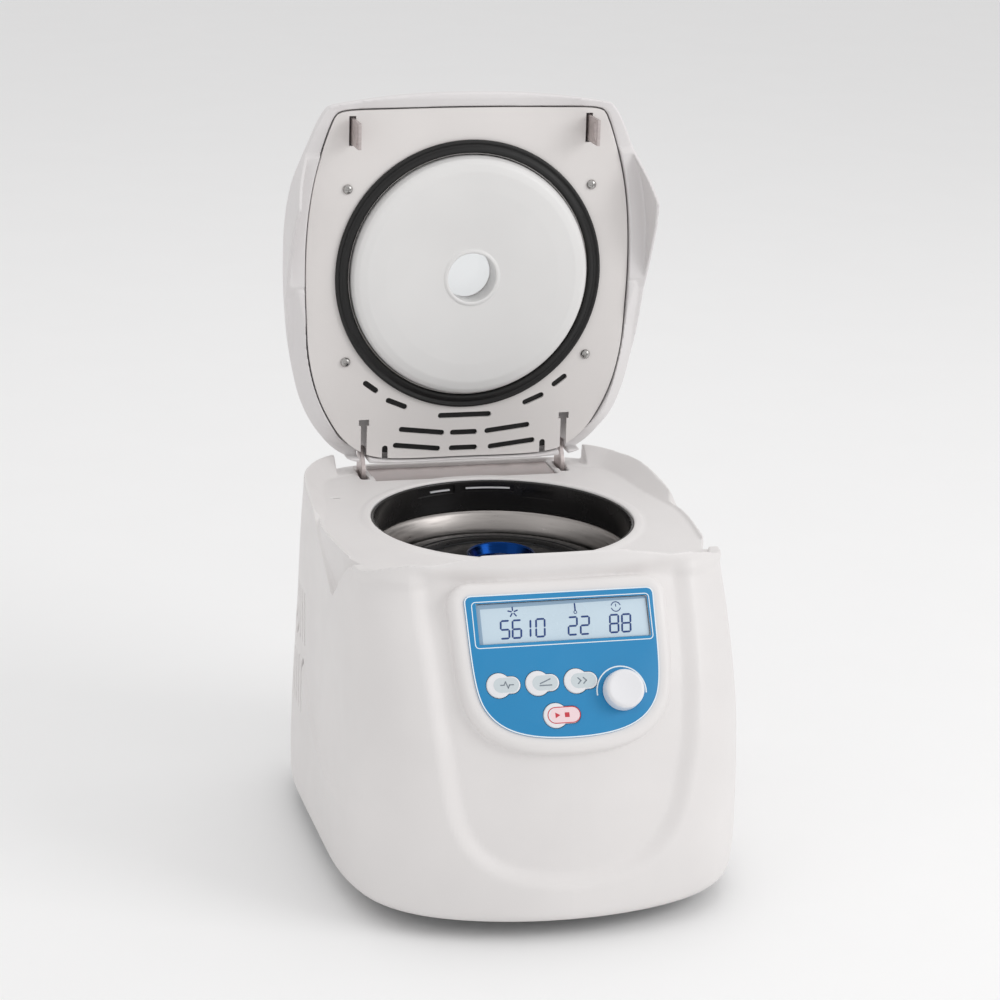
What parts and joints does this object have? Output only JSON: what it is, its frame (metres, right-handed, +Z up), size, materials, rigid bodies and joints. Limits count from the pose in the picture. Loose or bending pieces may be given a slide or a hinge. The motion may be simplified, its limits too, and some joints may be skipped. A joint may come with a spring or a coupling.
{
  "type": "laboratory centrifuge",
  "caption": "Benchtop micro-centrifuge with a clamshell lid standing open, a sloping control console, a round rotor chamber and a tube rotor with a screw-down cover.",
  "frame": {"origin": "on the bench under the middle of the machine, at the undersides of the feet", "axes": "+Z up; the console and the lid front edge face -Y; +X is to the right of someone facing the console"},
  "size_m": [0.286, 0.366, 0.5262],
  "materials": {
    "housing": "fine satin texture, warm light grey",
    "lid_shell": "fine satin texture, warm light grey",
    "liner": "satin, warm grey",
    "disc": "smooth satin, off-white",
    "rubber": "matt black",
    "steel": "brushed",
    "plate": "plain pressed plate",
    "black_plastic": "satin black",
    "motor": "black enamel",
    "pan": "grey powder coat",
    "overlay": "satin printed film, mid blue",
    "display": "clear window over a pale blue display",
    "board": "solder-masked board",
    "button": "satin white",
    "rotor": "black anodised",
    "anodised": "blue anodised",
    "window": "clear polished"
  },
  "bodies": {
    "base": {"housing": "housing", "rear_panel": "housing", "foot_front_left": "rubber", "foot_front_right": "rubber", "foot_rear_left": "rubber", "foot_rear_right": "rubber", "chamber_collar": "rubber", "motor_damper_1": "rubber", "motor_damper_2": "rubber", "motor_damper_3": "rubber", "shaft_seal": "rubber", "chamber_bowl": "steel", "armour_ring": "steel", "motor_plate": "steel", "knob_encoder": "steel", "latch_case_left": "steel", "latch_case_right": "steel", "power_supply": "steel", "hinge_arm_left": "plate", "hinge_arm_right": "plate", "power_inlet": "black_plastic", "switch_frame": "black_plastic", "latch_motor": "black_plastic", "motor_body": "motor", "base_pan": "pan", "control_overlay": "overlay", "display_window": "display", "display_module": "board", "control_board": "board", "drive_board": "board"},
    "lid": {"lid_shell": "lid_shell", "lid_liner": "liner", "lid_disc": "disc", "lid_gasket": "rubber", "lid_window": "window", "lid_screw_front_left": "steel", "lid_screw_front_right": "steel", "lid_screw_rear_left": "steel", "lid_screw_rear_right": "steel", "striker_left": "plate", "striker_right": "plate", "hinge_rod": "steel", "hinge_block_left": "plate", "hinge_block_right": "plate"},
    "spindle": {"motor_shaft": "steel", "rotor": "rotor", "rotor_lid": "rotor"},
    "rotor_clamp": {"rotor_knob": "anodised"},
    "pulse": {"pulse_button": "button"},
    "door": {"door_button": "button"},
    "select": {"select_button": "button"},
    "start_stop": {"start_stop_button": "button"},
    "dial": {"control_knob": "button"},
    "bolt_left": {"latch_bolt_left": "steel"},
    "bolt_right": {"latch_bolt_right": "steel"},
    "rocker": {"power_rocker": "black_plastic"}
  },
  "joints": [
    {"name": "lid_hinge", "type": "hinge", "parent": "base", "child": "lid", "pos_m": [0, 0.1675, 0.2555], "axis": [1, 0, 0], "range_deg": [0, 90.7]},
    {"name": "rotor_spin", "type": "hinge", "parent": "base", "child": "spindle", "pos_m": [0, 0.034, 0.176], "axis": [0, 0, 1], "continuous": true},
    {"name": "rotor_knob_turn", "type": "hinge", "parent": "spindle", "child": "rotor_clamp", "pos_m": [0, 0.034, 0.206], "axis": [0, 0, 1], "range_deg": [0, 720]},
    {"name": "pulse_press", "type": "slide", "parent": "base", "child": "pulse", "axis": [0, 0.8572, -0.515], "range_m": [0, 0.0008], "stiffness_N_per_m": 800, "springref_m": -0.0005},
    {"name": "door_press", "type": "slide", "parent": "base", "child": "door", "axis": [0, 0.8572, -0.515], "range_m": [0, 0.0008], "stiffness_N_per_m": 800, "springref_m": -0.0005},
    {"name": "select_press", "type": "slide", "parent": "base", "child": "select", "axis": [0, 0.8572, -0.515], "range_m": [0, 0.0008], "stiffness_N_per_m": 800, "springref_m": -0.0005},
    {"name": "start_stop_press", "type": "slide", "parent": "base", "child": "start_stop", "axis": [0, 0.8572, -0.515], "range_m": [0, 0.0008], "stiffness_N_per_m": 800, "springref_m": -0.0005},
    {"name": "dial_turn", "type": "hinge", "parent": "base", "child": "dial", "pos_m": [0.0368, -0.15501, 0.17003], "axis": [0, -0.8572, 0.515], "continuous": true},
    {"name": "latch_left", "type": "slide", "parent": "base", "child": "bolt_left", "axis": [-1, 0, 0], "range_m": [0, 0.009]},
    {"name": "latch_right", "type": "slide", "parent": "base", "child": "bolt_right", "axis": [1, 0, 0], "range_m": [0, 0.009]},
    {"name": "power_rocker_tilt", "type": "hinge", "parent": "base", "child": "rocker", "pos_m": [-0.062, 0.1672, 0.124], "axis": [0, 0, 1], "range_deg": [0, 18]}
  ],
  "couplings": [
    {"joint": "latch_right", "follows": "latch_left", "ratio": 1}
  ]
}
